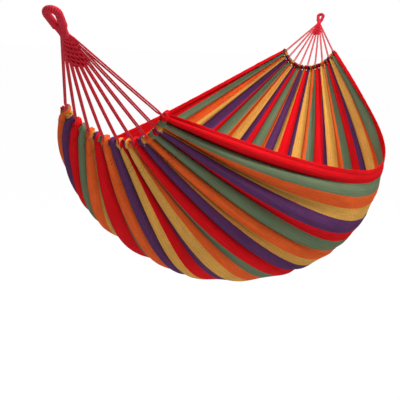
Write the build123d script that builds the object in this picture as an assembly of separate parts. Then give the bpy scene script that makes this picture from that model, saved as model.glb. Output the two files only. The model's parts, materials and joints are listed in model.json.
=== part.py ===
from build123d import *

import os
from math import acos, atan2, cos, degrees, hypot, pi, radians, sin, sqrt

# A striped cloth hammock hung by an eye at each end, in millimetres.
# The origin is where the near eye bears on its hook. +X runs level to the
# far eye's bearing point, +Z is up, and the two long rims are at -Y (near)
# and +Y (far). The far end is the near end mirrored about mid length.

# ---------------------------------------------------------------- whole set
eye_span = 2320.0            # from one bearing point to the other
row_reach = 250.0            # bearing point to the middle of the gathered hem, along X
row_drop = 218.0             # the same, downwards

# ------------------------------------------------------------ gathered ends
row_radius = 107.0           # arc in which the gathered hem hangs
row_half_angle = 67.7        # from the middle cord to an outer cord, degrees
row_tilt = 25.0              # lean of the arc's plane back towards the eye, degrees
row_overrun = 7.0            # hem past the outer cords, degrees

# ---------------------------------------------------------------------- bed
bed_half_width = 435.0       # at mid length, at the rims
bed_rim_drop = 395.0         # rims below the eyes at mid length
bed_depth = 375.0            # lowest point below the rims at mid length
bed_roundness = 0.75         # 0 gives a sharp fold at mid length, 2 a flat arc
cloth_thickness = 4.0        # the woven cloth with its small folds
bed_stations = 13            # cross-sections along the bed
section_points = 9           # points across each cross-section

# ------------------------------------------------------ side hems and seams
seam_gap = 0.3               # between pieces of cloth that are sewn together
side_hem_width = 14.0        # across the cloth, at mid length
side_hem_thickness = 7.0

# --------------------------------------------------------------- eye loops
eye_core_radius = 4.6        # the strands of all the cords, bundled
eye_whip_radius = 6.5        # outside of the whipping
eye_bend_radius = 10.5       # of the loop's centreline round the top
eye_length = 65.0            # bearing point to the joint below the neck wrap
eye_leg_gap = 0.5            # between the two legs' cores at the joint
whip_clearance = 0.05        # whipping over core
whip_to_wrap = 0.8           # end of the whipping to the neck wrap, down the eye
wrap_wall = 2.0              # neck wrap outside the legs
wrap_taper = 0.4             # how much wider the wrap is for each eye length upwards
joint_gap = 0.5              # between the eye's end and the clew, along X

# -------------------------------------------------------------------- clews
clew_length = 61.0           # joint to the last crossing of the strands
clew_corner = 19.0           # joint to where the outer cords leave
clew_half_width = 15.5       # at the outer cords
clew_thickness = 8.0

# -------------------------------------------------------------------- cords
cord_count = 9               # doubled cords at each end
strand_radius = 1.35
cord_leg_offset = 1.6        # half the distance between a cord's legs at the clew
cord_root = 4.0              # length of each leg inside the clew

# -------------------------------------------------- header cords and sleeves
header_radius = 2.5
header_knot_radius = 5.0
sleeve_radius = 8.0          # outside of the sewn and gathered hem sleeve
sleeve_clearance = 0.2       # sleeve over header cord
bight_clearance = 0.35       # cord round the header cord
notch_clearance = 0.6        # sleeve notch round the cord

# ---------------------------------------------------------------- stitching
stitch_inset = 55.0          # hem to the first row of thread
stitch_spacing = 12.0        # between the two rows
stitch_width = 3.0
stitch_height = 0.8

# ------------------------------------------------------- worked-out lengths
mid_x = eye_span / 2
eye_tilt = atan2(row_drop, row_reach)
along_eye = Vector(cos(eye_tilt), 0, -sin(eye_tilt))
across_eye = Vector(0, 1, 0)
out_of_eye = Vector(sin(eye_tilt), 0, cos(eye_tilt))
row_middle = Vector(row_reach, 0, -row_drop)
row_up = Vector(-sin(radians(row_tilt)), 0, cos(radians(row_tilt)))
row_centre = row_middle + row_up * row_radius
joint_point = along_eye * eye_length


def eye_point(across, down, out=0.0):
    """A point given across the eye, down its length and out of its plane."""
    return across_eye * across + along_eye * down + out_of_eye * out


def row_point(angle, radius=row_radius):
    """A point of the gathered end at an angle from its middle, towards the near rim."""
    turn = radians(angle)
    return row_centre - (across_eye * sin(turn) + row_up * cos(turn)) * radius


def row_tangent(angle):
    """Direction along the gathered end, towards the near rim."""
    turn = radians(angle)
    return row_up * sin(turn) - across_eye * cos(turn)


def mirrored(point):
    """The same point at the far end."""
    return Vector(eye_span - point.X, point.Y, point.Z)


def sag_share(s):
    """Share of the mid-length sag reached at s of the way along: a hyperbola."""
    k = bed_roundness
    top = sqrt(1 + k * k)
    u = 2 * s - 1
    return (top - sqrt(u * u + k * k)) / (top - k)


def cloth_point(t, s, off=0.0):
    """A point of the bed: t runs from the far rim (-1) to the near rim (+1), s from
    the near end (0) to the far end (1), and off is outwards from the cloth's middle."""
    start = row_point(t * (row_half_angle + row_overrun), row_radius + off)
    end = mirrored(start)
    turn = t * pi / 2
    mid_y = -(bed_half_width + off) * sin(turn)
    mid_z = -bed_rim_drop - (bed_depth + off) * cos(turn)
    middle = Vector(mid_x, mid_y, mid_z)
    straight = start * (1 - s) + end * s
    return straight + (middle - (start + end) * 0.5) * sag_share(s)


def cloth_face(t_first, t_last, s_values, off):
    """A smooth face over part of the bed, at one offset from the cloth's middle."""
    steps = [i / (section_points - 1) for i in range(section_points)]
    t_values = [t_first + (t_last - t_first) * step for step in steps]
    grid = [[cloth_point(t, s, off) for s in s_values] for t in t_values]
    return Face.make_surface_from_array_of_points(grid)


def cloth_patch(t_first, t_last, s_values, inner, outer):
    """A solid layer over part of the bed, between two offsets."""
    inside = cloth_face(t_first, t_last, s_values, inner)
    outside = cloth_face(t_first, t_last, s_values, outer)
    sides = []
    for edge in inside.edges():
        middle = edge @ 0.5
        partner = min(outside.edges(), key=lambda other: (other @ 0.5 - middle).length)
        sides.append(Face.make_surface_from_curves(edge, partner))
    return Solid(Shell([inside, outside] + sides))


def rope(path, radius):
    """A round solid of one radius along a path."""
    start = path @ 0
    section = Plane(start, z_dir=path % 0) * Circle(radius)
    return sweep(section, path=path).solid()


def eye_leg():
    """One straight leg of the loop: where it leaves the bend, and where it ends at
    the joint, each across the eye and down its length."""
    half_foot = eye_core_radius + eye_leg_gap / 2
    centre_down = eye_bend_radius - eye_whip_radius
    reach = hypot(half_foot, eye_length - centre_down)
    lean = acos(eye_bend_radius / reach) - atan2(eye_length - centre_down, half_foot)
    side = eye_bend_radius * cos(lean)
    down = centre_down - eye_bend_radius * sin(lean)
    return (side, down), (half_foot, eye_length)


def leg_down(half_width):
    """How far down the legs are at this distance from the eye's middle line."""
    (side, down), (foot_side, foot_down) = eye_leg()
    share = (side - half_width) / (side - foot_side)
    return down + share * (foot_down - down)


def eye_path(half_width):
    """Centreline of the loop, an arc round the top with a straight leg tangent to
    each end, cut off where the legs are this far from the middle line."""
    (side, down), foot = eye_leg()
    low = leg_down(half_width)
    top = eye_point(0, -eye_whip_radius)
    right_leg = Line(eye_point(half_width, low), eye_point(side, down))
    bend = ThreePointArc(eye_point(side, down), top, eye_point(-side, down))
    left_leg = Line(eye_point(-side, down), eye_point(-half_width, low))
    return Wire([right_leg, bend, left_leg])


def beyond_joint(side):
    """Everything on one side of the upright plane where the clew turns under the eye."""
    size = 400.0
    edge = joint_point.X + side * joint_gap / 2
    where = Pos(edge, 0, joint_point.Z)
    align = Align.MIN if side > 0 else Align.MAX
    return where * Box(size, size, size, align=(align, Align.CENTER, Align.CENTER))


def make_eye_core():
    """The bundled strands, in a teardrop, ending at the joint."""
    path = eye_path(eye_core_radius + eye_leg_gap / 2)
    return rope(path, eye_core_radius) & beyond_joint(-1)


def make_eye_whipping():
    """Thread wound round the core until the two legs meet."""
    path = eye_path(eye_whip_radius + eye_leg_gap / 2)
    return rope(path, eye_whip_radius) - rope(path, eye_core_radius + whip_clearance)


def wrap_outline(down):
    """The neck wrap's outline round both legs."""
    frame = Plane(eye_point(0, down), x_dir=across_eye, z_dir=along_eye)
    half_width = 2 * eye_core_radius + eye_leg_gap / 2 + wrap_wall
    half_height = eye_core_radius + wrap_wall
    flare = 1 + wrap_taper * (eye_length - down) / eye_length
    outline = RectangleRounded(2 * half_width * flare, 2 * half_height, half_height * 0.95)
    return frame * outline


def make_neck_wrap():
    """The tight binding that closes the loop, hollow for the two legs."""
    top = leg_down(eye_whip_radius + eye_leg_gap / 2) + whip_to_wrap
    bottom = eye_length + 2 * eye_whip_radius
    body = loft([wrap_outline(top), wrap_outline(bottom)]).solid()
    body = body & beyond_joint(-1)
    path = eye_path(eye_core_radius + eye_leg_gap / 2)
    return body - rope(path, eye_core_radius + whip_clearance)


def cord_exit(index):
    """Where a doubled cord leaves the clew: across the eye and down its length."""
    share = 2 * index / (cord_count - 1) - 1
    down = eye_length + clew_length - (clew_length - clew_corner) * share * share
    return eye_point(-share * clew_half_width, down)


def make_clew():
    """The interlaced strands, as one flat spade from the neck to the last crossing."""
    neck_half_width = 2 * eye_core_radius
    top = -eye_length + eye_whip_radius
    frame = Plane((0, 0, 0), x_dir=across_eye, z_dir=out_of_eye)
    edge = [frame.to_local_coords(cord_exit(i)) for i in range(cord_count)]
    first = Vector(-neck_half_width, top)
    last = Vector(neck_half_width, top)
    margin = strand_radius
    left = Vector(-clew_half_width - margin, -eye_length - clew_corner)
    right = Vector(clew_half_width + margin, -eye_length - clew_corner)
    inner = sorted(edge[1:-1], key=lambda point: point.X)
    points = [first, left] + [Vector(p.X, p.Y) for p in inner] + [right, last]
    outline = make_face(Polyline(*points, close=True))
    spade = extrude(frame * outline, clew_thickness / 2, both=True).solid()
    return spade & beyond_joint(1)


def make_cord(index):
    """One doubled cord: a leg, the bight round the header cord, and the leg back."""
    share = 2 * index / (cord_count - 1) - 1
    angle = share * row_half_angle
    foot = row_point(angle)
    root = cord_exit(index)
    back = (root - foot).normalized()
    root = root + back * cord_root
    side = row_tangent(angle).cross(back).normalized()
    slant = abs(row_tangent(angle).dot(back))
    stretch = 1 / sqrt(1 - slant * slant)
    bight = header_radius * stretch + strand_radius + bight_clearance
    length = (root - foot).length
    reach = hypot(length, cord_leg_offset)
    lean = acos(bight / reach) + atan2(cord_leg_offset, length)
    out = bight * cos(lean)
    up = bight * sin(lean)
    leg_top = root + side * cord_leg_offset
    leg_under = root - side * cord_leg_offset
    leave_top = foot + back * out + side * up
    leave_under = foot + back * out - side * up
    top_leg = Line(leg_top, leave_top)
    bend = ThreePointArc(leave_top, foot - back * bight, leave_under)
    under_leg = Line(leave_under, leg_under)
    return rope(Wire([top_leg, bend, under_leg]), strand_radius)


def row_arc(overrun):
    """Centreline along the gathered end, past the outer cords by an angle."""
    reach = row_half_angle + overrun
    return Edge.make_three_point_arc(row_point(-reach), row_point(0), row_point(reach))


def make_header_cord():
    """The cord inside the hem sleeve, with a stopper knot beyond each end of it."""
    knot_turn = degrees(header_knot_radius * 0.9 / row_radius)
    reach = row_half_angle + row_overrun + knot_turn
    body = rope(row_arc(row_overrun + knot_turn), header_radius)
    for angle in (-reach, reach):
        body = body + Pos(*row_point(angle)) * Sphere(header_knot_radius)
    return body


def sleeve_notch(index):
    """Opening in the hem sleeve where one cord goes round the header cord."""
    share = 2 * index / (cord_count - 1) - 1
    angle = share * row_half_angle
    foot = row_point(angle)
    back = (cord_exit(index) - foot).normalized()
    across = row_tangent(angle)
    side = across.cross(back).normalized()
    slant = abs(across.dot(back))
    stretch = 1 / sqrt(1 - slant * slant)
    bight = header_radius * stretch + strand_radius + bight_clearance
    radius = bight + strand_radius + notch_clearance
    width = 2 * (strand_radius + notch_clearance)
    frame = Plane(foot, x_dir=back, z_dir=back.cross(side))
    disc = Cylinder(radius, width)
    mouth = Box(3 * sleeve_radius, 2 * radius, width, align=(Align.MIN, Align.CENTER, Align.CENTER))
    return frame * (disc + mouth)


def make_sleeve():
    """The gathered hem sleeve round the header cord, notched for the cords."""
    arc = row_arc(row_overrun)
    sleeve = rope(arc, sleeve_radius) - rope(arc, header_radius + sleeve_clearance)
    for index in range(cord_count):
        sleeve = sleeve - sleeve_notch(index)
    return sleeve


def along(distance):
    """Share of the bed's length at a distance from the gathered hem, near its middle."""
    step = 0.001
    pace = (cloth_point(0, step) - cloth_point(0, 0)).length / step
    return distance / pace


def bed_shares():
    """Stations along the bed, closer together near the gathered ends."""
    first = along(sleeve_radius)
    count = bed_stations - 1
    shares = [(1 - cos(pi * i / count)) / 2 for i in range(bed_stations)]
    return [first + (1 - 2 * first) * share for share in shares]


def side_hem_share(width):
    """A width at the rim, as a share of the bed's half width across the cloth."""
    half_width = pi * (bed_half_width + bed_depth) / 4
    return width / half_width


def make_bed_cloth():
    """The woven cloth, one shell from sleeve to sleeve and hem to hem."""
    edge = 1 - side_hem_share(side_hem_width + seam_gap)
    half = cloth_thickness / 2
    return cloth_patch(-edge, edge, bed_shares(), -half, half)


def make_side_hem(side):
    """The rolled hem along one rim, a thicker strip beside the cloth."""
    edge = 1 - side_hem_share(side_hem_width)
    half = side_hem_thickness / 2
    return cloth_patch(side * edge, side, bed_shares(), -half, half)


def make_stitching():
    """Two rows of thread across the outside of the cloth, near the gathered hem."""
    edge = 1 - side_hem_share(side_hem_width + 2 * seam_gap)
    inner = cloth_thickness / 2 + seam_gap
    outer = inner + stitch_height
    rows = []
    for row in range(2):
        first = along(stitch_inset + row * stitch_spacing)
        last = first + along(stitch_width)
        stations = [first, (first + last) / 2, last]
        rows.append(cloth_patch(-edge, edge, stations, inner, outer))
    return rows


def far_copy(shape):
    """The same piece at the far end."""
    return shape.mirror(Plane.YZ.offset(mid_x))


def save(name, shapes):
    """Write one node, holding one or more solids."""
    solids = shapes if isinstance(shapes, list) else [shapes]
    solids = [solid for shape in solids for solid in shape.solids()]
    body = solids[0] if len(solids) == 1 else Compound(children=solids)
    body.label = name
    export_step(body, os.path.join("parts", name + ".step"))
    print(name, len(solids), round(sum(solid.volume for solid in solids)))


def save_both_ends(name, shapes):
    """Write a piece of the near end and its copy at the far end."""
    near = shapes if isinstance(shapes, list) else [shapes]
    save("near_" + name, near)
    save("far_" + name, [far_copy(shape) for shape in near])


os.makedirs("parts", exist_ok=True)
save("bed_cloth", make_bed_cloth())
save("near_side_hem", make_side_hem(1))
save("far_side_hem", make_side_hem(-1))
save_both_ends("eye_core", make_eye_core())
save_both_ends("eye_whipping", make_eye_whipping())
save_both_ends("neck_wrap", make_neck_wrap())
save_both_ends("woven_clew", make_clew())
save_both_ends("header_cord", make_header_cord())
save_both_ends("hem_sleeve", make_sleeve())
save_both_ends("hem_stitching", make_stitching())
for number in range(cord_count):
    save_both_ends("cord_" + str(number + 1), make_cord(number))
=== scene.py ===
import json
from math import acos, atan2, cos, hypot, pi, radians, sin

import bpy
import numpy as np
from mathutils import Matrix, Vector


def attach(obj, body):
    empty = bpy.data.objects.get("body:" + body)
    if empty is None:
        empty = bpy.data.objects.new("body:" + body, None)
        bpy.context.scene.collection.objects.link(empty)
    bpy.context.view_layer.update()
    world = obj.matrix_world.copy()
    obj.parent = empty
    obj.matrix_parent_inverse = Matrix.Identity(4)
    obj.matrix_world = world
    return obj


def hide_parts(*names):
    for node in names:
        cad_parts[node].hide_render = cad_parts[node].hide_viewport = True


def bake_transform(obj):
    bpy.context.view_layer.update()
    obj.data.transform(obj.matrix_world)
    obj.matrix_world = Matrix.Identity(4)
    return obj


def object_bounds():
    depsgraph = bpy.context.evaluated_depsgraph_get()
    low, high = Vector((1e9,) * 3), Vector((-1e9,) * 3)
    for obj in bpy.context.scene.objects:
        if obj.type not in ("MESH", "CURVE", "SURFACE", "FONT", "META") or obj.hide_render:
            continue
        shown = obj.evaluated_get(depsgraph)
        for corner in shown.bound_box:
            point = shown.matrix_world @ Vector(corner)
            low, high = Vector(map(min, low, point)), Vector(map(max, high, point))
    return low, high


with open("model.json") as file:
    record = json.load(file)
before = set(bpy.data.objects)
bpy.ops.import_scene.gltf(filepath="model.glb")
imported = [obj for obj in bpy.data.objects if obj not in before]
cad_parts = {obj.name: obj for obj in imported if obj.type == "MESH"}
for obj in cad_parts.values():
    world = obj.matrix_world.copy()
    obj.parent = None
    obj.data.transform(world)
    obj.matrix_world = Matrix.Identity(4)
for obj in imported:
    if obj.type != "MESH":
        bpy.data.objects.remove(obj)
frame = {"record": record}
CAD_BOX = [list(map(float, corner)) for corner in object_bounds()]

bl_info = {
    "name": "Striped hammock",
    "version": (1, 0, 0),
    "blender": (4, 5, 0),
    "location": "View3D > Sidebar > Hammock",
    "description": "Builds a striped cloth hammock with rope clews round its frame",
    "category": "Add Mesh",
}

# ------------------------------------------------------------- driving sizes
# Metres. The origin is where the near eye bears on its hook, +X runs to the
# far eye, +Z is up, and the near rim is at -Y.

MOUNTS = {mount["name"]: mount for mount in frame["record"]["mounts"]}
EYE_SPAN = MOUNTS["far_eye"]["pos_m"][0]

ROW_REACH = 0.250            # bearing point to the middle of the gathered hem, along X
ROW_DROP = 0.218             # the same, downwards
ROW_RADIUS = 0.107           # arc in which the gathered hem hangs
ROW_HALF_ANGLE = radians(67.7)
ROW_TILT = radians(25.0)
ROW_OVERRUN = radians(4.5)
BED_HALF_WIDTH = 0.435
BED_RIM_DROP = 0.395
BED_DEPTH = 0.375
BED_ROUNDNESS = 0.75

STRIPES = "RGOYPRGOYPRGOPYRPYOGRPYOGRPYOGR"   # from the far rim to the near rim
CLOTH_WIDTH = 1.30           # flat
CLOTH_LENGTH = 2.16          # flat
CLOTH_THICKNESS = 0.0011
MID_WIDTH = 1.24             # width that the folds share at mid length
WEAVE_PITCH = 0.0017         # length of two threads of the weave
HEM_HALF_WIDTH = 0.0068      # of the rolled hem along each rim
HEM_HALF_THICKNESS = 0.0019
STITCH_SHARES = (0.055 / 2.45, 0.067 / 2.45)   # rows of thread, from each end of the bed
# Painted shade: the colour that the valleys of the folds are darkened towards, in place of folds
# deeper than the modelled ones.
VALLEY_SHADE_COLOUR = (0.018, 0.004, 0.004, 1.0)
CORD_COUNT = 9
FOLDS_PER_CORD = 2

EYE_CORE_RADIUS = 0.0046
EYE_WHIP_RADIUS = 0.0065
EYE_BEND_RADIUS = 0.0105
EYE_LENGTH = 0.0585
EYE_LEG_GAP = 0.0005
CLEW_LENGTH = 0.0640
STRAND_RADIUS = 0.00180
HEADER_RADIUS = 0.0025
WHIP_RIDGE = 0.0011          # height of one turn of the whipping
NECK_TUCK = 0.005            # cords and clew start this far above the eye's end
NECK_HALF_SPREAD = 0.0056    # half the width in which the cords leave the neck
HINGE_REACH = 0.0491         # bearing point to where the eye's hinge lies, along X
NEAR_LIFT = -0.023           # the near gathered row, from the CAD's mean row
FAR_LIFT = 0.013             # the far row, from the same
BED_SWAY = 0.028             # the belly hangs a little to the far side
LOOP_TAPER = 0.046           # the loop's legs would meet this far down

# Stripes on the backs of the folds at the near end, from the far rim, one fold each.
NEAR_BACKS = (2, 4, 5, 6, 7, 10, 12, 13, 14, 17, 20, 21, 23, 24, 26, 29, 30)

ALONG_EYE = np.array([cos(atan2(ROW_DROP, ROW_REACH)), 0, -sin(atan2(ROW_DROP, ROW_REACH))])
ACROSS_EYE = np.array([0.0, 1.0, 0.0])
OUT_OF_EYE = np.array([-ALONG_EYE[2], 0, ALONG_EYE[0]])
ROW_UP = np.array([-sin(ROW_TILT), 0, cos(ROW_TILT)])
ROW_MIDDLE = np.array([ROW_REACH, 0, -ROW_DROP])
ROW_CENTRE = ROW_MIDDLE + ROW_UP * ROW_RADIUS
ROW_REACH_ANGLE = ROW_HALF_ANGLE + ROW_OVERRUN
CORDS_PER_SIDE = (CORD_COUNT - 1) / 2
ENDS = ("near", "far")


# --------------------------------------------------------------- mesh making


def smooth(low, high, value):
    """0 below low, 1 above high, and 3x^2 - 2x^3 between them."""
    x = np.clip((value - low) / (high - low), 0, 1)
    return x * x * (3 - 2 * x)


def patch(points, uv, around=False, caps=False, flip=False):
    """One grid of points (rows, columns, 3) and its UVs. around joins the last
    column to the first, so its UVs have one more column than its points."""
    return {"points": points, "uv": uv, "around": around, "caps": caps, "flip": flip}


def uv_grid(across, along):
    """UVs of a grid from its measures across and along, each a row, a column or both."""
    return np.stack(np.broadcast_arrays(across, along), axis=-1)


def grid_faces(rows, columns, around, flip, first):
    """Corner numbers of the grid's quads, and their places in the UV grid."""
    i = np.arange(rows - 1)[:, None]
    j = np.arange(columns if around else columns - 1)[None, :]
    j_next = (j + 1) % columns if around else j + 1
    uv_columns = columns + 1 if around else columns
    corners = np.stack([i * columns + j, i * columns + j_next,
                        (i + 1) * columns + j_next, (i + 1) * columns + j], axis=-1)
    places = np.stack([i * uv_columns + j, i * uv_columns + j + 1,
                       (i + 1) * uv_columns + j + 1, (i + 1) * uv_columns + j], axis=-1)
    if flip:
        corners, places = corners[..., ::-1], places[..., ::-1]
    return corners.reshape(-1, 4) + first, places.reshape(-1, 4)


def hang(points):
    """How this hammock hangs, against the CAD's even shape: the near row lower, the
    far row higher, the belly to one side. Nothing moves beyond the eyes' hinges."""
    x = points[..., 0]
    row = ROW_REACH + ROW_RADIUS * (cos(ROW_HALF_ANGLE) - 1) * sin(ROW_TILT)
    stops = [HINGE_REACH, row, EYE_SPAN - row, EYE_SPAN - HINGE_REACH]
    lift = np.interp(x, stops, [0.0, NEAR_LIFT, FAR_LIFT, 0.0])
    sway = BED_SWAY * sag_share(np.clip((x - row) / (EYE_SPAN - 2 * row), 0, 1))
    return points + np.stack([0 * x, sway, lift], axis=-1)


def make_object(name, patches, material):
    """A mesh object of one or more patches, with a metric UV map."""
    vertices, loops, sizes, uvs = [], [], [], []
    first = 0
    for item in patches:
        points, uv = item["points"], item["uv"].reshape(-1, 2)
        rows, columns = points.shape[:2]
        corners, places = grid_faces(rows, columns, item["around"], item["flip"], first)
        vertices.append(hang(points).reshape(-1, 3))
        loops.append(corners.ravel())
        sizes.append(np.full(len(corners), 4))
        uvs.append(uv[places.ravel()])
        if item["caps"]:
            ring = np.arange(columns)
            start, end = ring + first, ring[::-1] + first + (rows - 1) * columns
            if not item["flip"]:
                start, end = start[::-1], end[::-1]
            loops += [start, end]
            sizes.append(np.array([columns, columns]))
            uvs += [uv[:columns], uv[-columns:]]
        first += rows * columns
    vertices, loops = np.concatenate(vertices), np.concatenate(loops)
    sizes, uvs = np.concatenate(sizes), np.concatenate(uvs)
    mesh = bpy.data.meshes.new(name)
    mesh.vertices.add(len(vertices))
    mesh.vertices.foreach_set("co", vertices.astype(np.float32).ravel())
    mesh.loops.add(len(loops))
    mesh.loops.foreach_set("vertex_index", loops.astype(np.int32))
    mesh.polygons.add(len(sizes))
    mesh.polygons.foreach_set("loop_start", (np.cumsum(sizes) - sizes).astype(np.int32))
    mesh.uv_layers.new(name="metres")
    mesh.update(calc_edges=True)
    mesh.uv_layers["metres"].data.foreach_set("uv", uvs.astype(np.float32).ravel())
    mesh.polygons.foreach_set("use_smooth", np.ones(len(sizes), bool))
    if mesh.validate():
        raise RuntimeError(name + " has a faulty mesh")
    mesh.materials.append(material)
    piece = bpy.data.objects.new(name, mesh)
    bpy.context.scene.collection.objects.link(piece)
    return piece


def far_side(points):
    """The same points at the far end."""
    return points * np.array([-1.0, 1.0, 1.0]) + np.array([EYE_SPAN, 0.0, 0.0])


def at_end(patches, end):
    """The patches at the near end, or mirrored to the far end with their faces turned."""
    if end == "near":
        return patches
    return [dict(item, points=far_side(item["points"]), flip=not item["flip"])
            for item in patches]


def path_lengths(path):
    """Distance along a path at each of its points."""
    steps = np.linalg.norm(np.diff(path, axis=0), axis=1)
    return np.concatenate([[0.0], np.cumsum(steps)])


def resample(path, step):
    """The same path with its points evenly spaced, about one step apart."""
    length = path_lengths(path)
    count = max(int(round(length[-1] / step)) + 1, 4)
    at = np.linspace(0, length[-1], count)
    return np.stack([np.interp(at, length, path[:, k]) for k in range(3)], axis=1)


def tube(path, radius, reference, columns):
    """A tube along a path: centre + r (N cos a + B sin a), where N is the reference
    direction squared to the path and B is the tangent crossed with N. radius is one
    number or a function of the distance along and the angle."""
    tangent = np.gradient(path, axis=0)
    tangent /= np.linalg.norm(tangent, axis=1)[:, None]
    reference = np.asarray(reference, float)
    normal = reference - tangent * (tangent @ reference)[:, None]
    normal /= np.linalg.norm(normal, axis=1)[:, None]
    binormal = np.cross(tangent, normal)
    angle = np.arange(columns) * 2 * pi / columns
    along = path_lengths(path)
    r = radius(along[:, None], angle[None, :]) if callable(radius) else radius
    r = np.broadcast_to(r, (len(path), columns))[..., None]
    ring = (normal[:, None] * np.cos(angle)[None, :, None]
            + binormal[:, None] * np.sin(angle)[None, :, None])
    around = np.arange(columns + 1) / columns
    uv = uv_grid(around[None, :] * 2 * pi * float(np.mean(r)), along[:, None])
    return patch(path[:, None] + ring * r, uv, around=True, caps=True)


def laid_rope(radius, lay, strands=3, depth=0.09):
    """Radius of a laid rope: strands ridges that wind once round in each lay."""
    def at(along, angle):
        wave = np.cos(strands * (angle - 2 * pi * along / lay))
        return radius * (1 - depth + depth * wave)
    return at


def round_ridge(place):
    """Height of a round ridge, 0 to 1, at a place from 0 to 1: sqrt(1 - (2p - 1)^2)."""
    return np.sqrt(np.clip(1 - (2 * place - 1) ** 2, 0, 1))


# ------------------------------------------------------------ hammock shapes


def row_point(angle):
    """Points of the near gathered end at angles from its middle, near rim positive."""
    angle = np.asarray(angle, float)[..., None]
    return ROW_CENTRE - ROW_RADIUS * (ACROSS_EYE * np.sin(angle) + ROW_UP * np.cos(angle))


def row_tangent(angle):
    """Unit direction along the gathered end, towards the near rim."""
    return ROW_UP * sin(angle) - ACROSS_EYE * cos(angle)


def sag_share(s):
    """Share of the mid-length sag: (top - sqrt(u^2 + k^2)) / (top - k), with u from
    -1 to 1 along the bed, k the roundness and top the value of the root at its ends."""
    k = BED_ROUNDNESS
    top = hypot(1, k)
    u = 2 * s - 1
    return (top - np.sqrt(u * u + k * k)) / (top - k)


def bed_point(t, s, off=0.0):
    """The bed without folds: t is -1 at the far rim and +1 at the near rim, s is 0 at
    the near end and 1 at the far end, off is outwards. A straight line joins the two
    gathered arcs, and the sag carries it to half an ellipse at mid length."""
    off = np.asarray(off, float)[..., None]
    angle = t * ROW_REACH_ANGLE
    start = row_point(angle) - off * (ACROSS_EYE * np.sin(angle)[..., None]
                                      + ROW_UP * np.cos(angle)[..., None])
    end = far_side(start)
    turn = (t * pi / 2)[..., None]
    middle = np.concatenate([np.full_like(turn, EYE_SPAN / 2),
                             -(BED_HALF_WIDTH + off) * np.sin(turn),
                             -BED_RIM_DROP - (BED_DEPTH + off) * np.cos(turn)], axis=-1)
    s = np.asarray(s, float)[..., None]
    straight = start * (1 - s) + end * s
    return straight + (middle - (start + end) / 2) * sag_share(s)


def waves(x, seed, count, low, high):
    """A smooth random line: a sum of count sines with seeded speeds and phases."""
    random = np.random.default_rng(seed)
    speeds = random.uniform(low, high, count)
    phases = random.uniform(0, 2 * pi, count)
    sines = np.sin(x[..., None] * speeds + phases)
    return sines.sum(axis=-1) / np.sqrt(count)


def fold_number(v, end):
    """Which fold a place across the cloth lies in. Whole numbers are the backs, fold
    2k is at cord k. At the near end the backs are at the middles of NEAR_BACKS, and
    at the far end they are evenly spaced."""
    spare = CORDS_PER_SIDE * FOLDS_PER_CORD * ROW_OVERRUN / ROW_HALF_ANGLE
    last = FOLDS_PER_CORD * (CORD_COUNT - 1)
    if end == "far":
        return -spare + (last + 2 * spare) * v
    places = [0.0] + [(stripe + 0.5) / len(STRIPES) for stripe in NEAR_BACKS] + [1.0]
    return np.interp(v, places, [-spare] + list(range(last + 1)) + [last + spare])


def row_share(v, end):
    """The place along the gathered hem, from -1 to 1, where the cloth at v is held."""
    return fold_number(v, end) / (CORDS_PER_SIDE * FOLDS_PER_CORD * ROW_REACH_ANGLE
                                  / ROW_HALF_ANGLE) - ROW_HALF_ANGLE / ROW_REACH_ANGLE


def fold_angle(v, s):
    """The place among the cords, and the fold's angle, 0 on a back and pi in a valley.
    The near end's folds change to the far end's at mid length, and all of them wander
    a little."""
    from_end, side = np.minimum(s, 1 - s), 1 - 2 * smooth(0.40, 0.60, s)
    swap = smooth(0.35, 0.65, s)
    fold = fold_number(v, "near") * (1 - swap) + fold_number(v, "far") * swap
    cords = fold / FOLDS_PER_CORD - CORDS_PER_SIDE
    wander = 0.10 * waves(cords * 1.3 + 9 * side, 5, 4, 0.6, 2.2) * smooth(0.0, 0.10, from_end)
    return cords, 2 * pi * (fold + wander)


def valley_shade_mask(v, s):
    """Mask of the painted shade in the valleys, in place of folds deeper than these:
    0 on the backs of the folds and 1 in the valleys, (1/2 - cos(a)/2)^4, faded out
    along the bed."""
    _, angle = fold_angle(v, s)
    fading = 1 - smooth(0.06, 0.36, np.minimum(s, 1 - s))
    return (0.5 - 0.5 * np.cos(angle)) ** 4 * fading


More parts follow.
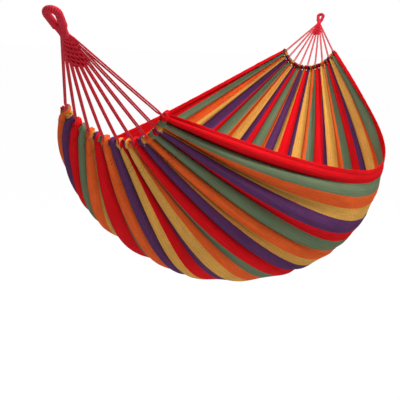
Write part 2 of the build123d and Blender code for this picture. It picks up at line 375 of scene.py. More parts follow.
def cloth_surface(v, s):
    """The folded cloth: v is 0 at the far rim and 1 at the near rim, s is 0 and 1 in
    the two header cords. Two folds belong to each cord. With a the fold's angle, the
    cloth stands out by depth * (cos(a) + 0.14 cos(2a)), and slides along the width by
    pitch * (0.15 sin(a) + 0.012 sin(2a)), which makes round backs with narrow valleys.
    The depth fades towards mid length, where the cloth lies nearly flat. side is 1 at
    the near end and -1 at the far end, so the two ends wander differently."""
    settings = bpy.context.scene.hammock
    v, s = np.broadcast_arrays(np.asarray(v, float), np.asarray(s, float))
    from_end = np.minimum(s, 1 - s)
    side = 1 - 2 * smooth(0.40, 0.60, s)
    held = np.where(s < 0.5, row_share(v, "near"), row_share(v, "far"))
    t = held + (2 * v - 1 - held) * smooth(0.0, 0.30, from_end) ** 0.7
    cords, angle = fold_angle(v, s)
    width = 2 * ROW_RADIUS * ROW_REACH_ANGLE
    width = width + (MID_WIDTH - width) * sag_share(s)
    folds = FOLDS_PER_CORD * 2 * CORDS_PER_SIDE * ROW_REACH_ANGLE / ROW_HALF_ANGLE
    pitch = width / folds
    gather = smooth(0.0, 0.016, from_end)
    fading = 1 - smooth(0.05, 0.45, from_end)
    strength = 1 + 0.26 * waves(cords * 2.1 + 3 * side, 8, 4, 0.5, 2.0)
    rim = smooth(1.0, 0.94, np.abs(t)) * 0.80 + 0.20
    depth = settings.fold_depth * (0.62 + 0.38 * gather) * (0.10 + 0.90 * fading) * strength
    depth = np.clip(depth, 0.0, 0.80 * pitch) * rim
    out = depth * (np.cos(angle) + 0.14 * np.cos(2 * angle))
    steep = (0.30 + 0.70 * gather) * fading ** 0.7
    slide = (0.150 * np.sin(angle) + 0.012 * np.sin(2 * angle)) * steep
    pucker = 0.0012 * np.exp(-from_end / 0.016) * smooth(0.0, 0.004, from_end)
    out = out + pucker * waves(cords * 30 + 20 * from_end, 12, 5, 0.7, 1.6)
    long_wave = waves(cords * 1.1 + 2.0 * s, 21, 5, 0.5, 2.4)
    out = out + 0.0035 * long_wave * smooth(0.05, 0.3, from_end) * rim
    out = out + 0.0012 * waves(cords * 6 + 14 * s, 31, 6, 0.4, 1.8) * smooth(0.02, 0.1, from_end)
    shift = slide * pitch / width * 2
    return bed_point(np.clip(t + shift * rim, -1.0, 1.0), s, out)


def surface_frame(v, s):
    """Points of the cloth with its outward normal and its direction along v, from
    small differences."""
    step = 1e-4
    low, high = np.clip(v - step, 0, 1), np.clip(v + step, 0, 1)
    across = cloth_surface(high, s) - cloth_surface(low, s)
    along = cloth_surface(v, s + step) - cloth_surface(v, s - step)
    across /= np.linalg.norm(across, axis=-1, keepdims=True)
    along /= np.linalg.norm(along, axis=-1, keepdims=True)
    normal = np.cross(along, across)
    normal /= np.linalg.norm(normal, axis=-1, keepdims=True)
    return cloth_surface(v, s), normal, across


def eye_point(across, down, out=0.0):
    """Points given across the eye, down its length and out of its plane."""
    across, down, out = (np.asarray(x, float)[..., None] for x in (across, down, out))
    return ACROSS_EYE * across + ALONG_EYE * down + OUT_OF_EYE * out


def eye_path():
    """Centreline of the loop: an arc round the top and two legs tangent to it, cut off
    where their whippings are one gap apart. Also how far down it is cut off."""
    half_width = EYE_WHIP_RADIUS + EYE_LEG_GAP / 2
    foot = EYE_CORE_RADIUS + EYE_LEG_GAP / 2
    centre = EYE_BEND_RADIUS - EYE_WHIP_RADIUS
    reach = hypot(foot, LOOP_TAPER - centre)
    lean = acos(EYE_BEND_RADIUS / reach) - atan2(LOOP_TAPER - centre, foot)
    side, down = EYE_BEND_RADIUS * cos(lean), centre - EYE_BEND_RADIUS * sin(lean)
    share = (side - half_width) / (side - foot)
    low = down + share * (LOOP_TAPER - down)
    turn = np.linspace(lean, pi - lean, 60)
    bend = eye_point(EYE_BEND_RADIUS * np.cos(turn), centre - EYE_BEND_RADIUS * np.sin(turn))
    leg = eye_point(np.linspace(half_width, side, 20), np.linspace(low, down, 20))
    other = eye_point(-np.linspace(side, half_width, 20), np.linspace(down, low, 20))
    return np.concatenate([leg[:-1], bend, other[1:]]), low


def clew_half_width(down):
    """Half width of the woven fan: it widens with the cords, and a superellipse
    rounds off its lower edge."""
    fan = 0.0064 + 0.094 * (down - EYE_LENGTH) / 0.265
    left = np.clip((down - EYE_LENGTH) / CLEW_LENGTH, 0, 1)
    return fan * (1 - left ** 5) ** 0.5


# ----------------------------------------------------------------- materials


class Nodes:
    """Short names for adding and joining the nodes of one material."""

    def __init__(self, name):
        self.material = bpy.data.materials.new(name)
        self.material.use_nodes = True
        self.tree = self.material.node_tree
        self.shader = self.tree.nodes["Principled BSDF"]

    def add(self, kind, **values):
        """A new shader node with these settings."""
        node = self.tree.nodes.new("ShaderNode" + kind)
        for key, value in values.items():
            setattr(node, key, value)
        return node

    def join(self, source, target):
        """Link an output to an input."""
        self.tree.links.new(source, target)

    def math(self, operation, a, b=None, clamp=False):
        """One operation on one or two numbers or outputs."""
        node = self.add("Math", operation=operation, use_clamp=clamp)
        for socket, value in zip(node.inputs, (a, b)):
            if value is None:
                continue
            if isinstance(value, (int, float)):
                socket.default_value = value
            else:
                self.join(value, socket)
        return node.outputs[0]

    def mix(self, factor, a, b, blend="MIX"):
        """Two colours blended by a factor."""
        node = self.add("Mix", data_type="RGBA", blend_type=blend)
        for socket, value in ((node.inputs[0], factor), (node.inputs[6], a), (node.inputs[7], b)):
            if isinstance(value, (int, float, tuple)):
                socket.default_value = value
            else:
                self.join(value, socket)
        return node.outputs[2]

    def uv(self):
        """The piece's own UVs in metres, across and along."""
        node = self.add("UVMap", uv_map="metres")
        parts = self.add("SeparateXYZ")
        self.join(node.outputs[0], parts.inputs[0])
        return parts.outputs[0], parts.outputs[1]

    def noise(self, x, y, scale_x, scale_y, detail=2.0, offset=0.0):
        """Noise stretched over the surface: cells of 1/scale_x by 1/scale_y metres."""
        vector = self.add("CombineXYZ")
        self.join(self.math("MULTIPLY", x, scale_x), vector.inputs[0])
        self.join(self.math("MULTIPLY", y, scale_y), vector.inputs[1])
        vector.inputs[2].default_value = offset
        node = self.add("TexNoise")
        node.inputs["Scale"].default_value = 1.0
        node.inputs["Detail"].default_value = detail
        self.join(vector.outputs[0], node.inputs["Vector"])
        return node.outputs["Fac"]

    def ramp(self, factor, stops, interpolation="LINEAR"):
        """Colours at places from 0 to 1, first and last stop before the ones between."""
        node = self.add("ValToRGB")
        ramp = node.color_ramp
        ramp.interpolation = interpolation
        for element, (place, colour) in zip(ramp.elements, (stops[0], stops[-1])):
            element.position, element.color = place, colour
        for place, colour in stops[1:-1]:
            ramp.elements.new(place).color = colour
        self.join(factor, node.inputs[0])
        return node.outputs[0]

    def bump(self, height, strength, distance):
        """Raise the shader's surface by a height."""
        node = self.add("Bump")
        node.inputs["Strength"].default_value = strength
        node.inputs["Distance"].default_value = distance
        self.join(height, node.inputs["Height"])
        self.join(node.outputs[0], self.shader.inputs["Normal"])

    def finish(self, colour, roughness, sheen=0.0, specular=0.03):
        """Set the shader's sockets and hand over the material."""
        self.join(colour, self.shader.inputs["Base Color"])
        self.shader.inputs["Roughness"].default_value = roughness
        self.shader.inputs["Specular IOR Level"].default_value = specular
        self.shader.inputs["Sheen Weight"].default_value = sheen
        self.shader.inputs["Sheen Roughness"].default_value = 0.6
        return self.material


def rgba(colour):
    """A property's colour with full cover, as a plain tuple."""
    return (colour[0], colour[1], colour[2], 1.0)


def weave_finish(nodes, base, x, y, fleck_colour, fleck_amount):
    """Cloth colour and bump: weft flecks across, warp slubs along, and the weave."""
    slub = nodes.noise(x, y, 520.0, 9.0, 3.0)
    fleck = nodes.noise(x, y, 95.0, 760.0, 2.0, 3.7)
    fade = nodes.noise(x, y, 7.0, 4.0, 3.0, 8.1)
    mask = nodes.ramp(fleck, [(0.55, (0, 0, 0, 1)), (0.72, (1, 1, 1, 1))])
    amount = nodes.math("MULTIPLY", mask, fleck_amount)
    colour = nodes.mix(amount, base, fleck_colour)
    light = nodes.ramp(slub, [(0.30, (0.80, 0.80, 0.80, 1)), (0.70, (1.12, 1.12, 1.12, 1))])
    colour = nodes.mix(1.0, colour, light, "MULTIPLY")
    tone = nodes.ramp(fade, [(0.30, (0.90, 0.90, 0.90, 1)), (0.70, (1.07, 1.06, 1.05, 1))])
    colour = nodes.mix(1.0, colour, tone, "MULTIPLY")
    warp = nodes.math("SINE", nodes.math("MULTIPLY", x, 2 * pi / WEAVE_PITCH))
    weft = nodes.math("SINE", nodes.math("MULTIPLY", y, 2 * pi / WEAVE_PITCH))
    weave = nodes.math("MULTIPLY", warp, weft)
    crease = nodes.noise(x, y, 60.0, 14.0, 4.0, 5.5)
    height = nodes.math("ADD", nodes.math("MULTIPLY", weave, 0.25),
                        nodes.math("MULTIPLY", slub, 0.7))
    height = nodes.math("ADD", height, nodes.math("MULTIPLY", crease, 1.6))
    nodes.bump(height, 0.45, 0.0012)
    return colour


def striped_cloth():
    """Canvas with lengthwise stripes: the stripe number is the UV's first coordinate
    over the stripe width. The valleys of the folds are darkened with painted shade."""
    settings = bpy.context.scene.hammock
    colours = {"R": settings.red, "G": settings.green, "O": settings.orange,
               "Y": settings.yellow, "P": settings.purple}
    nodes = Nodes("striped_canvas")
    x, y = nodes.uv()
    place = nodes.math("MULTIPLY", x, 1 / CLOTH_WIDTH)
    wobble = nodes.noise(x, y, 40.0, 60.0, 2.0, 1.3)
    wobble = nodes.math("MULTIPLY", nodes.math("SUBTRACT", wobble, 0.5), 0.0016)
    place = nodes.math("ADD", place, wobble)
    stops = [(i / len(STRIPES), rgba(colours[letter])) for i, letter in enumerate(STRIPES)]
    base = nodes.ramp(place, stops, "CONSTANT")
    colour = weave_finish(nodes, base, x, y, rgba(settings.fleck), 0.55)
    # Painted shade: the valleys of the folds are darkened towards the valley shade colour, in place
    # of folds deeper than the modelled ones.
    valley = nodes.add("Attribute", attribute_name="valley")
    shade = nodes.math("MULTIPLY", valley.outputs["Fac"], settings.valley_shade)
    colour = nodes.mix(shade, colour, VALLEY_SHADE_COLOUR)
    return nodes.finish(colour, 0.92)


def red_hem():
    """The same canvas in red, folded over and sewn."""
    settings = bpy.context.scene.hammock
    nodes = Nodes("red_hem")
    x, y = nodes.uv()
    dark = tuple(0.82 * value for value in settings.red) + (1.0,)
    patchy = nodes.noise(x, y, 30.0, 22.0, 3.0, 2.2)
    base = nodes.mix(nodes.math("MULTIPLY", patchy, 0.6), rgba(settings.red), dark)
    colour = weave_finish(nodes, base, x, y, dark, 0.4)
    return nodes.finish(colour, 0.90)


def twisted_cord(name, colour, roughness, sheen, wound=None):
    """Cord with fibres that wind round it: a slanted noise along the UV. wound is the
    pitch of a whipping, whose grooves get painted shade."""
    nodes = Nodes(name)
    x, y = nodes.uv()
    slant = nodes.math("ADD", x, nodes.math("MULTIPLY", y, 0.75))
    fibre = nodes.noise(slant, y, 2600.0, 90.0, 3.0)
    patchy = nodes.noise(x, y, 60.0, 35.0, 2.0, 4.0)
    dark = tuple(0.72 * value for value in colour) + (1.0,)
    light = tuple(min(1.0, 1.3 * value) for value in colour) + (1.0,)
    base = nodes.mix(fibre, dark, light)
    tone = nodes.ramp(patchy, [(0.3, (0.86, 0.86, 0.86, 1)), (0.7, (1.08, 1.08, 1.08, 1))])
    base = nodes.mix(1.0, base, tone, "MULTIPLY")
    nodes.bump(fibre, 0.5, 0.0004)
    if wound:
        # Painted shade: the grooves between the turns of the whipping are darkened.
        circle = 2 * pi * EYE_WHIP_RADIUS
        turn = nodes.math("SUBTRACT", nodes.math("MULTIPLY", y, 1 / wound),
                          nodes.math("MULTIPLY", x, 1 / circle))
        place = nodes.math("FRACT", turn)
        groove_shade = nodes.ramp(place, [(0.0, (0.30, 0.30, 0.30, 1)), (0.22, (1, 1, 1, 1)),
                                    (0.78, (1, 1, 1, 1)), (1.0, (0.30, 0.30, 0.30, 1))])
        base = nodes.mix(1.0, base, groove_shade, "MULTIPLY")
    return nodes.finish(base, roughness, sheen, 0.16)


def finish_of(name):
    """The material of this name, made the first time it is asked for."""
    found = bpy.data.materials.get(name)
    if found:
        return found
    settings = bpy.context.scene.hammock
    makers = {
        "striped_canvas": striped_cloth,
        "red_hem": red_hem,
        "crimson_cord": lambda: twisted_cord("crimson_cord", settings.cord[:], 0.60, 0.03),
        "crimson_whipping": lambda: twisted_cord(
            "crimson_whipping", settings.whipping[:], 0.58, 0.03, settings.whip_pitch),
        "dark_thread": lambda: twisted_cord("dark_thread", settings.thread[:], 0.70, 0.0),
    }
    return makers[name]()


# ---------------------------------------------------------------- properties


def colour_property(name, description, default):
    """A colour that a user can change."""
    return bpy.props.FloatVectorProperty(name=name, description=description, default=default,
                                         subtype="COLOR", size=3, min=0, max=1)


class HammockSettings(bpy.types.PropertyGroup):
    """Sizes and colours that a user would change."""

    fold_depth: bpy.props.FloatProperty(
        name="Fold depth", description="Height of the folds above and below the middle",
        default=0.0165, min=0.0, max=0.03, unit="LENGTH")
    # Painted shade: how strongly the valleys of the folds are darkened, in place of folds deeper
    # than the modelled ones.
    valley_shade: bpy.props.FloatProperty(
        name="Valley shade",
        description="Darkening of the valleys, in place of folds deeper than these",
        default=0.80, min=0.0, max=1.0, subtype="FACTOR")
    columns: bpy.props.IntProperty(
        name="Cloth columns", description="Faces across the cloth", default=310, min=60, max=400)
    rows: bpy.props.IntProperty(
        name="Cloth rows", description="Faces along the cloth", default=136, min=40, max=200)
    whip_pitch: bpy.props.FloatProperty(
        name="Whipping pitch", description="One turn of the whipping to the next",
        default=0.0028, min=0.001, max=0.01, unit="LENGTH")
    cord_lay: bpy.props.FloatProperty(
        name="Cord lay", description="Length in which a strand winds once round",
        default=0.0085, min=0.003, max=0.05, unit="LENGTH")
    pair_twist: bpy.props.FloatProperty(
        name="Pair twist", description="Turns of a doubled cord's legs round each other",
        default=0.0, min=0.0, max=8.0)
    stitch_length: bpy.props.FloatProperty(
        name="Stitch length", description="One stitch of the hem's thread",
        default=0.0042, min=0.001, max=0.02, unit="LENGTH")
    red: colour_property("Red", "Red stripes and hems", (0.72, 0.005, 0.010))
    green: colour_property("Green", "Green stripes", (0.130, 0.205, 0.115))
    orange: colour_property("Orange", "Orange stripes", (0.83, 0.125, 0.024))
    yellow: colour_property("Yellow", "Yellow stripes", (0.72, 0.380, 0.080))
    purple: colour_property("Purple", "Purple stripes", (0.088, 0.034, 0.120))
    fleck: colour_property("Fleck", "Weft showing between the warps", (0.42, 0.020, 0.018))
    cord: colour_property("Cord", "Cords and clews", (0.60, 0.010, 0.026))
    whipping: colour_property("Whipping", "Eyes and neck wraps", (0.66, 0.014, 0.036))
    thread: colour_property("Thread", "Hem stitching", (0.20, 0.010, 0.014))


# ----------------------------------------------------------------- operators


def seat(piece, body, slot, *nodes):
    """Ride a piece on a body and hide the nodes it stands for."""
    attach(piece, body)
    if nodes:
        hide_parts(*nodes)
    return piece


def twist(piece, node):
    """Hide the node a piece stands for, and bake the piece's transform into its mesh."""
    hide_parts(node)
    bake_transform(piece)


def stitches(v_starts, s_starts, v_ends, s_ends, lift, radius):
    """Short threads on the cloth, all at once: each is five rings of six points, fat in
    the middle, from one place on the cloth to another, lifted off it by lift."""
    first, normal, _ = surface_frame(v_starts, s_starts)
    last = cloth_surface(v_ends, s_ends)
    first, last = first + normal * lift, last + normal * lift
    direction = last - first
    direction /= np.linalg.norm(direction, axis=-1, keepdims=True)
    side = np.cross(direction, normal)
    share = np.array([0.0, 0.12, 0.5, 0.88, 1.0])
    fat = np.array([0.25, 0.85, 1.0, 0.85, 0.25]) * radius
    drop = np.array([-1.0, -0.25, 0.25, -0.25, -1.0]) * radius
    angle = np.arange(6) * pi / 3
    centre = (first[:, None] + (last - first)[:, None] * share[None, :, None]
              + normal[:, None] * drop[None, :, None])
    ring = (normal[:, None, None] * np.cos(angle)[None, None, :, None]
            + side[:, None, None] * np.sin(angle)[None, None, :, None])
    points = centre[:, :, None] + ring * fat[None, :, None, None]
    around = np.arange(7) * radius
    uv = np.stack(np.meshgrid(share * 0.004, around, indexing="ij")[::-1], axis=-1)
    return [patch(item, uv, around=True, caps=True, flip=True) for item in points]


class HAMMOCK_OT_cloth(bpy.types.Operator):
    """Weave the striped cloth of the bed, gathered into folds at both ends"""

    bl_idname = "hammock.cloth"
    bl_label = "Bed cloth"

    def execute(self, context):
        settings = context.scene.hammock
        v = np.linspace(0, 1, settings.columns + 1)
        even = np.linspace(0, 1, settings.rows + 1)
        s = 0.25 * even + 0.75 * (1 - np.cos(pi * even)) / 2
        points = cloth_surface(v[None, :], s[:, None])
        uv = uv_grid(v[None, :] * CLOTH_WIDTH, s[:, None] * CLOTH_LENGTH)
        sheet = make_object("bed_sheet", [patch(points, uv)], finish_of("striped_canvas"))
        # Painted shade: a mask, 0 to 1, that darkens the valleys of the folds in the canvas.
        valley = sheet.data.attributes.new("valley", "FLOAT", "POINT")
        depth = valley_shade_mask(v[None, :], s[:, None])
        valley.data.foreach_set("value", depth.astype(np.float32).ravel())
        wall = sheet.modifiers.new("thickness", "SOLIDIFY")
        wall.thickness = CLOTH_THICKNESS
        wall.offset = 0.0
        seat(sheet, "bed", "striped_cloth", "bed_cloth")
        return {"FINISHED"}


class HAMMOCK_OT_side_hems(bpy.types.Operator):
    """Fold and sew the red hem along each rim"""

    bl_idname = "hammock.side_hems"
    bl_label = "Side hems"

    def execute(self, context):
        for end, v_rim in (("far", 0.0), ("near", 1.0)):
            inward = 1 if v_rim == 0 else -1
            even = np.linspace(0, 1, 261)
            s = 0.004 + 0.992 * (0.3 * even + 0.7 * (1 - np.cos(pi * even)) / 2)
            v = np.full_like(s, v_rim + inward * 0.0048)
            centre, normal, across = surface_frame(v, s)
            angle = np.arange(16) * pi / 8
            shape = np.abs(np.cos(angle)) ** 0.6 * np.sign(np.cos(angle))
            uneven_width = 1 + 0.05 * waves(s * 300, 3, 4, 0.5, 1.5)[:, None]
            uneven_height = 1 + 0.15 * waves(s * 220, 4, 4, 0.5, 1.5)[:, None]
            wide = HEM_HALF_WIDTH * shape * uneven_width
            thick = HEM_HALF_THICKNESS * np.sin(angle) * uneven_height
            points = (centre[:, None] + across[:, None] * wide[..., None]
                      + normal[:, None] * thick[..., None])
            uv_step = 0.0019
            uv = uv_grid(np.arange(17)[None, :] * uv_step, s[:, None] * CLOTH_LENGTH)
            roll = patch(points, uv, around=True, caps=True, flip=True)
            hem = make_object(end + "_rim_hem", [roll], finish_of("red_hem"))
            seat(hem, "bed", "hem_cloth", end + "_side_hem")
            start = np.arange(0.012, 0.984, 0.0034)
            row = np.full_like(start, v_rim + inward * 0.0082)
            thread = stitches(row, start, row, start + 0.0022, 0.0017, 0.00045)
            seam = make_object(end + "_rim_thread", thread, finish_of("dark_thread"))
            seat(seam, "bed", "thread")
        return {"FINISHED"}


class HAMMOCK_OT_sleeves(bpy.types.Operator):
    """Gather the ends of the cloth in sleeves round the header cords"""

    bl_idname = "hammock.sleeves"
    bl_label = "Hem sleeves"

    def execute(self, context):
        for end in ENDS:
            sleeve = make_object(end + "_gathered_hem", at_end([self.sleeve(end)], end),
                                 finish_of("striped_canvas"))
            seat(sleeve, "bed", "striped_cloth", end + "_hem_sleeve")
        return {"FINISHED"}

    def sleeve(self, end):
        """A closed tube round the header cord, fat at each fold's back and pinched
        between the folds, drawn out behind where the cloth leaves it."""
        columns = 28
        v = np.linspace(0, 1, 640)
        fold = fold_number(v, end)
        t = row_share(v, end)
        turn = t * ROW_REACH_ANGLE
        angle = np.arange(columns) * 2 * pi / columns
        knob = 0.5 + 0.5 * np.cos(2 * pi * fold)
        pinch = np.abs(waves(fold * 17, 41, 5, 0.7, 1.5))
        spread = 0.0048 + 0.0036 * np.sqrt(knob) - 0.0005 * pinch
        ends = np.sqrt(np.clip((1 - np.abs(t)) / 0.02, 0.02, 1))
        ripple = waves(fold[:, None] * 13 + 3 * np.sin(angle)[None, :], 43, 4, 0.6, 1.5)
        radius = (spread * ends)[:, None] + 0.00045 * ripple * ends[:, None]
        outward = -(ACROSS_EYE * np.sin(turn)[:, None] + ROW_UP * np.cos(turn)[:, None])
        ahead = np.broadcast_to(np.cross(ROW_UP, ACROSS_EYE), outward.shape)
        ring = (outward[:, None] * np.cos(angle)[None, :, None]
                + ahead[:, None] * np.sin(angle)[None, :, None])
        trail = np.clip(-np.sin(angle), 0, 1)[None, :, None] * np.sin(angle)[None, :, None]
        centre = row_point(turn) - 0.002 * (1 - knob[:, None]) * ahead
        points = centre[:, None] + (ring + 1.5 * trail * ahead[:, None]) * radius[..., None]
        around = np.arange(columns + 1) * 2 * pi * 0.007 / columns
        uv = uv_grid(v[:, None] * CLOTH_WIDTH, around[None, :])
        return patch(points, uv, around=True, caps=True)


class HAMMOCK_OT_stitching(bpy.types.Operator):
    """Sew two rows of dark thread across the cloth behind each gathered hem"""

    bl_idname = "hammock.stitching"
    bl_label = "Hem stitching"

    def execute(self, context):
        settings = context.scene.hammock
        step = settings.stitch_length * 1.45 / CLOTH_WIDTH
        start = np.arange(0.012, 0.986, step)
        end_at = start + settings.stitch_length / CLOTH_WIDTH
        for end in ENDS:
            rows = []
            for share in STITCH_SHARES:
                s = np.full_like(start, share if end == "near" else 1 - share)
                rows += stitches(start, s, end_at, s, 0.0007, 0.00055)
            thread = make_object(end + "_hem_thread", rows, finish_of("dark_thread"))
            seat(thread, "bed", "thread", end + "_hem_stitching")
        return {"FINISHED"}


class HAMMOCK_OT_headers(bpy.types.Operator):
    """Lay the header cords in the hems, with a knot at each end"""

    bl_idname = "hammock.headers"
    bl_label = "Header cords"

    def execute(self, context):
        lay = laid_rope(HEADER_RADIUS, 0.014)
        reach = ROW_REACH_ANGLE + 0.010
        path = resample(row_point(np.linspace(-reach, reach, 200)), 0.0012)
        parts = [tube(path, lay, ROW_UP + 0.3 * ACROSS_EYE + np.array([0.8, 0, 0]), 14)]
        q = np.linspace(0, 2 * pi, 121)
        for sign in (-1, 1):
            middle = row_point(sign * reach)
            along = row_tangent(sign * reach)
            side = np.cross(along, [0.9, 0, 0.42])
            side /= np.linalg.norm(side)
            third = np.cross(along, side)
            size = 0.00085
            knot = (middle + size * ((np.sin(q) + 2 * np.sin(2 * q))[:, None] * side * 0.72
                                     + (np.cos(q) - 2 * np.cos(2 * q))[:, None] * third * 0.72
                                     - np.sin(3 * q)[:, None] * along * 0.95))
            parts.append(tube(knot, 0.0013, along + 0.2 * side, 10))
        for end in ENDS:
            header = make_object(end + "_header_rope", at_end(parts, end),
                                 finish_of("crimson_cord"))
            seat(header, "bed", "cord", end + "_header_cord")
        return {"FINISHED"}


class HAMMOCK_OT_cords(bpy.types.Operator):
    """Run the doubled cords from the necks round the header cords and back"""

    bl_idname = "hammock.cords"
    bl_label = "Doubled cords"

    def cord(self, index, settings):
        """One cord: down from the neck, round the header cord and back up, the two legs
        wound slowly round each other by pair_twist turns."""
        share = 2 * index / (CORD_COUNT - 1) - 1
        angle = share * ROW_HALF_ANGLE
        foot = row_point(angle)
        neck = eye_point(-share * NECK_HALF_SPREAD, EYE_LENGTH - NECK_TUCK)
        line = resample(np.stack([neck, foot]), 0.001)
        back = neck - foot
        back /= np.linalg.norm(back)
        side = np.cross(row_tangent(angle), back)
        side /= np.linalg.norm(side)
        third = np.cross(back, side)
        length = path_lengths(line)
        to_foot = length[-1] - length
        bight, apart = 0.0046, STRAND_RADIUS * 1.06
        spread = apart + (bight - apart) * np.exp(-(to_foot / 0.012) ** 1.3)
        turn = 2 * pi * settings.pair_twist * smooth(0.01, 1.0, to_foot / length[-1])
        turn = turn + 0.5 * pi * smooth(0.0, 0.03, to_foot)
        shift = (side * np.cos(turn)[:, None] + third * np.sin(turn)[:, None]) * spread[:, None]
        sweep = np.linspace(0, pi, 14)[1:-1]
        bend = foot + bight * (side * np.cos(sweep)[:, None] - back * np.sin(sweep)[:, None])
        path = np.concatenate([line + shift, bend, (line - shift)[::-1]])
        path = resample(path, 0.00125)
        lay = laid_rope(STRAND_RADIUS, settings.cord_lay)
        return tube(path, lay, row_tangent(angle), 9)

    def execute(self, context):
        for end in ENDS:
            for index in range(CORD_COUNT):
                piece = self.cord(index, context.scene.hammock)
                name = "%s_doubled_cord_%d" % (end, index + 1)
                cord = make_object(name, at_end([piece], end), finish_of("crimson_cord"))
                twist(cord, "%s_cord_%d" % (end, index + 1))
        return {"FINISHED"}


class HAMMOCK_OT_clews(bpy.types.Operator):
    """Interlace the strands of the clews under the necks"""

    bl_idname = "hammock.clews"
    bl_label = "Woven clews"

    def execute(self, context):
        strands = 13
        down = np.linspace(EYE_LENGTH - NECK_TUCK, EYE_LENGTH + CLEW_LENGTH - 0.001, 150)
        share = (down - down[0]) / (down[-1] - down[0])
        parts = []
        for index in range(strands):
            phase = 2 * pi * (index / strands + 0.80 * share)
            across = clew_half_width(down) * 0.95 * (2 / pi) * np.arcsin(0.985 * np.sin(phase))
            out = 0.0022 * np.sin(6 * phase + 2.4 * index)
            out = out + 0.0022 * np.cos(phase)
            path = resample(eye_point(across, down, out), 0.0011)
            lay = laid_rope(STRAND_RADIUS * 1.05, context.scene.hammock.cord_lay)
            parts.append(tube(path, lay, OUT_OF_EYE, 9))
        for end in ENDS:
            clew = make_object(end + "_plaited_clew", at_end(parts, end), finish_of("crimson_cord"))
            twist(clew, end + "_woven_clew")
        return {"FINISHED"}


class HAMMOCK_OT_eyes(bpy.types.Operator):
    """Whip the hanging loops"""

    bl_idname = "hammock.eyes"
    bl_label = "Eye loops"

    def execute(self, context):
        pitch = context.scene.hammock.whip_pitch

        def whipping(along, angle):
            """Round ridges that wind once round in each pitch."""
            place = (along / pitch - angle / (2 * pi)) % 1.0
            return EYE_WHIP_RADIUS - WHIP_RIDGE + WHIP_RIDGE * round_ridge(place)

        path, _ = eye_path()
        loop = tube(resample(path, pitch / 10), whipping, OUT_OF_EYE, 36)
        loop["uv"][..., 0] = np.linspace(0, 2 * pi * EYE_WHIP_RADIUS, 37)
        for end in ENDS:
            eye = make_object(end + "_whipped_loop", at_end([loop], end),
                              finish_of("crimson_whipping"))
            seat(eye, end + "_eye", "cord", end + "_eye_whipping", end + "_eye_core")
        return {"FINISHED"}


class HAMMOCK_OT_necks(bpy.types.Operator):
    """Bind the necks of the loops with crossing turns"""

    bl_idname = "hammock.necks"
    bl_label = "Neck wraps"

    def execute(self, context):
        _, top = eye_path()
        top = top - 0.006
        bottom = EYE_LENGTH - 0.001
        pitch = context.scene.hammock.whip_pitch
        down = np.linspace(top, bottom, 150)
        share = (down - top) / (bottom - top)
        angle = np.arange(48) * 2 * pi / 48
        half_width = 0.0082 + 0.0044 * (1 - smooth(0.0, 0.75, share))
        half_height = 0.0068 + 0.0004 * np.sin(pi * share)
        ends = np.sqrt(np.clip(1 - (2 * share - 1) ** 8, 0.30, 1))
        slant = (down[:, None] + 0.0062 * np.cos(angle)[None, :]) / pitch
        ridge = (round_ridge(slant % 1.0) - 1) * WHIP_RIDGE
        x = (half_width * ends)[:, None] * np.cos(angle)[None, :]
        y = (half_height * ends)[:, None] * np.sin(angle)[None, :]
        grow = 1 + ridge / np.hypot(x, y)
        points = eye_point(x * grow, np.broadcast_to(down[:, None], x.shape), y * grow)
        around = np.linspace(0, 1, 49)
        wound = np.concatenate([slant, slant[:, :1]], axis=1) * pitch + around * pitch
        uv = uv_grid(around[None, :] * 2 * pi * EYE_WHIP_RADIUS, wound)
        wrap = patch(points, uv, around=True, caps=True, flip=True)
        for end in ENDS:
            neck = make_object(end + "_bound_neck", at_end([wrap], end),
                               finish_of("crimson_whipping"))
            seat(neck, end + "_eye", "cord", end + "_neck_wrap")
        return {"FINISHED"}


class HAMMOCK_OT_declare(bpy.types.Operator):
    """A step that does nothing but finish."""

    bl_idname = "hammock.declare"
    bl_label = "Cloth sizes"

    def execute(self, context):
        return {"FINISHED"}


def lamp(name, place, target, size, power):
    """A square soft lamp that faces a point."""
    data = bpy.data.lights.new(name, "AREA")
    data.size, data.energy = size, power
    lamp_object = bpy.data.objects.new(name, data)
    lamp_object.location = place
    aim = Vector(target) - Vector(place)
    lamp_object.rotation_euler = aim.to_track_quat("-Z", "Y").to_euler()
    bpy.context.scene.collection.objects.link(lamp_object)


def backdrop_finish():
    """Pale floor that looks white to the camera and keeps a light shadow."""
    nodes = Nodes("pale_floor")
    nodes.shader.inputs["Base Color"].default_value = (0.86, 0.86, 0.86, 1)
    nodes.shader.inputs["Roughness"].default_value = 0.9
    glow = nodes.add("Emission")
    glow.inputs[0].default_value = (1, 1, 1, 1)
    glow.inputs[1].default_value = 1.04
    mixer = nodes.add("MixShader")
    path = nodes.add("LightPath")
    seen = nodes.math("ADD", path.outputs["Is Camera Ray"], path.outputs["Is Glossy Ray"],
                      clamp=True)
    seen = nodes.math("ADD", seen, path.outputs["Is Transmission Ray"], clamp=True)
    nodes.join(nodes.math("MULTIPLY", seen, 0.93), mixer.inputs[0])
    nodes.join(nodes.shader.outputs[0], mixer.inputs[1])
    nodes.join(glow.outputs[0], mixer.inputs[2])
    output = next(node for node in nodes.tree.nodes if node.type == "OUTPUT_MATERIAL")
    nodes.join(mixer.outputs[0], output.inputs["Surface"])
    return nodes.material


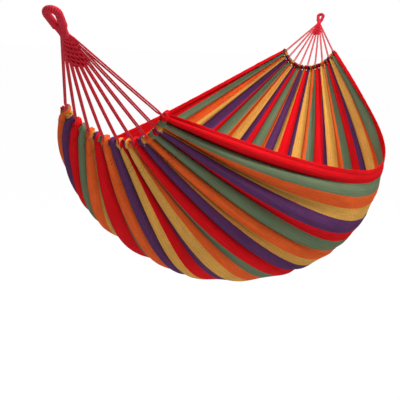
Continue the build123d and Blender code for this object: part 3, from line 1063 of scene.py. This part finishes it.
def studio_world():
    """Soft light from all round, plain white to the camera."""
    world = bpy.data.worlds.new("studio")
    bpy.context.scene.world = world
    world.use_nodes = True
    tree = world.node_tree
    tree.nodes.clear()
    light = tree.nodes.new("ShaderNodeBackground")
    light.inputs[1].default_value = 0.30
    white = tree.nodes.new("ShaderNodeBackground")
    white.inputs[0].default_value = (1, 1, 1, 1)
    white.inputs[1].default_value = 1.0
    light.inputs[0].default_value = (1, 1, 1, 1)
    path = tree.nodes.new("ShaderNodeLightPath")
    seen = tree.nodes.new("ShaderNodeMath")
    seen.operation, seen.use_clamp = "ADD", True
    more = tree.nodes.new("ShaderNodeMath")
    more.operation, more.use_clamp = "ADD", True
    mixer = tree.nodes.new("ShaderNodeMixShader")
    output = tree.nodes.new("ShaderNodeOutputWorld")
    tree.links.new(path.outputs["Is Camera Ray"], seen.inputs[0])
    tree.links.new(path.outputs["Is Glossy Ray"], seen.inputs[1])
    tree.links.new(seen.outputs[0], more.inputs[0])
    tree.links.new(path.outputs["Is Transmission Ray"], more.inputs[1])
    tree.links.new(more.outputs[0], mixer.inputs[0])
    tree.links.new(light.outputs[0], mixer.inputs[1])
    tree.links.new(white.outputs[0], mixer.inputs[2])
    tree.links.new(mixer.outputs[0], output.inputs[0])


class HAMMOCK_OT_stage(bpy.types.Operator):
    """Set up the floor, the lamps and the camera"""

    bl_idname = "hammock.stage"
    bl_label = "Stage"

    def execute(self, context):
        mesh = bpy.data.meshes.new("floor")
        size, height = 30.0, CAD_BOX[0][2] - 0.85
        corners = [(-size, -size, height), (size, -size, height),
                   (size, size, height), (-size, size, height)]
        mesh.from_pydata(corners, [], [(0, 1, 2, 3)])
        mesh.materials.append(backdrop_finish())
        floor = bpy.data.objects.new("floor", mesh)
        context.scene.collection.objects.link(floor)
        studio_world()
        middle = (EYE_SPAN / 2, 0.0, -0.45)
        lamp("key_lamp", (0.6, -2.2, 2.2), middle, 0.9, 92.0)
        lamp("fill_lamp", (-1.8, -1.6, 0.6), middle, 1.6, 12.0)
        lamp("top_lamp", (1.4, 0.9, 2.4), middle, 1.4, 56.0)
        data = bpy.data.cameras.new("camera")
        data.sensor_width, data.lens = 36.0, 70.0
        data.clip_start, data.clip_end = 0.02, 100.0
        camera = bpy.data.objects.new("camera", data)
        yaw, pitch, roll = radians(18.32), radians(13.60), radians(1.20)
        look = Vector((cos(yaw) * cos(pitch), sin(yaw) * cos(pitch), -sin(pitch)))
        camera.location = (-1.0752, -0.5985, 0.0049)
        camera.rotation_euler = (look.to_track_quat("-Z", "Y").to_matrix().to_4x4()
                                 @ Matrix.Rotation(roll, 4, "Z")).to_euler()
        context.scene.collection.objects.link(camera)
        context.scene.camera = camera
        context.scene.view_settings.view_transform = "Standard"
        return {"FINISHED"}


class HAMMOCK_PT_panel(bpy.types.Panel):
    """The steps that build the hammock, and its settings"""

    bl_label = "Hammock"
    bl_idname = "HAMMOCK_PT_panel"
    bl_space_type = "VIEW_3D"
    bl_region_type = "UI"
    bl_category = "Hammock"

    def draw(self, context):
        for name in HammockSettings.__annotations__:
            self.layout.prop(context.scene.hammock, name)
        for step in STEPS:
            self.layout.operator(step.bl_idname)


STEPS = (
    HAMMOCK_OT_cloth,
    HAMMOCK_OT_side_hems,
    HAMMOCK_OT_sleeves,
    HAMMOCK_OT_stitching,
    HAMMOCK_OT_headers,
    HAMMOCK_OT_cords,
    HAMMOCK_OT_clews,
    HAMMOCK_OT_eyes,
    HAMMOCK_OT_necks,
    HAMMOCK_OT_declare,
    HAMMOCK_OT_stage,
)
CLASSES = (HammockSettings,) + STEPS + (HAMMOCK_PT_panel,)


def register():
    for item in CLASSES:
        bpy.utils.register_class(item)
    bpy.types.Scene.hammock = bpy.props.PointerProperty(type=HammockSettings)


def unregister():
    del bpy.types.Scene.hammock
    for item in reversed(CLASSES):
        bpy.utils.unregister_class(item)


def main():
    """Register, and build every piece in order."""
    register()
    for step in STEPS:
        group, name = step.bl_idname.split(".")
        getattr(getattr(bpy.ops, group), name)()
    bpy.context.view_layer.update()


if __name__ == "__main__":
    main()
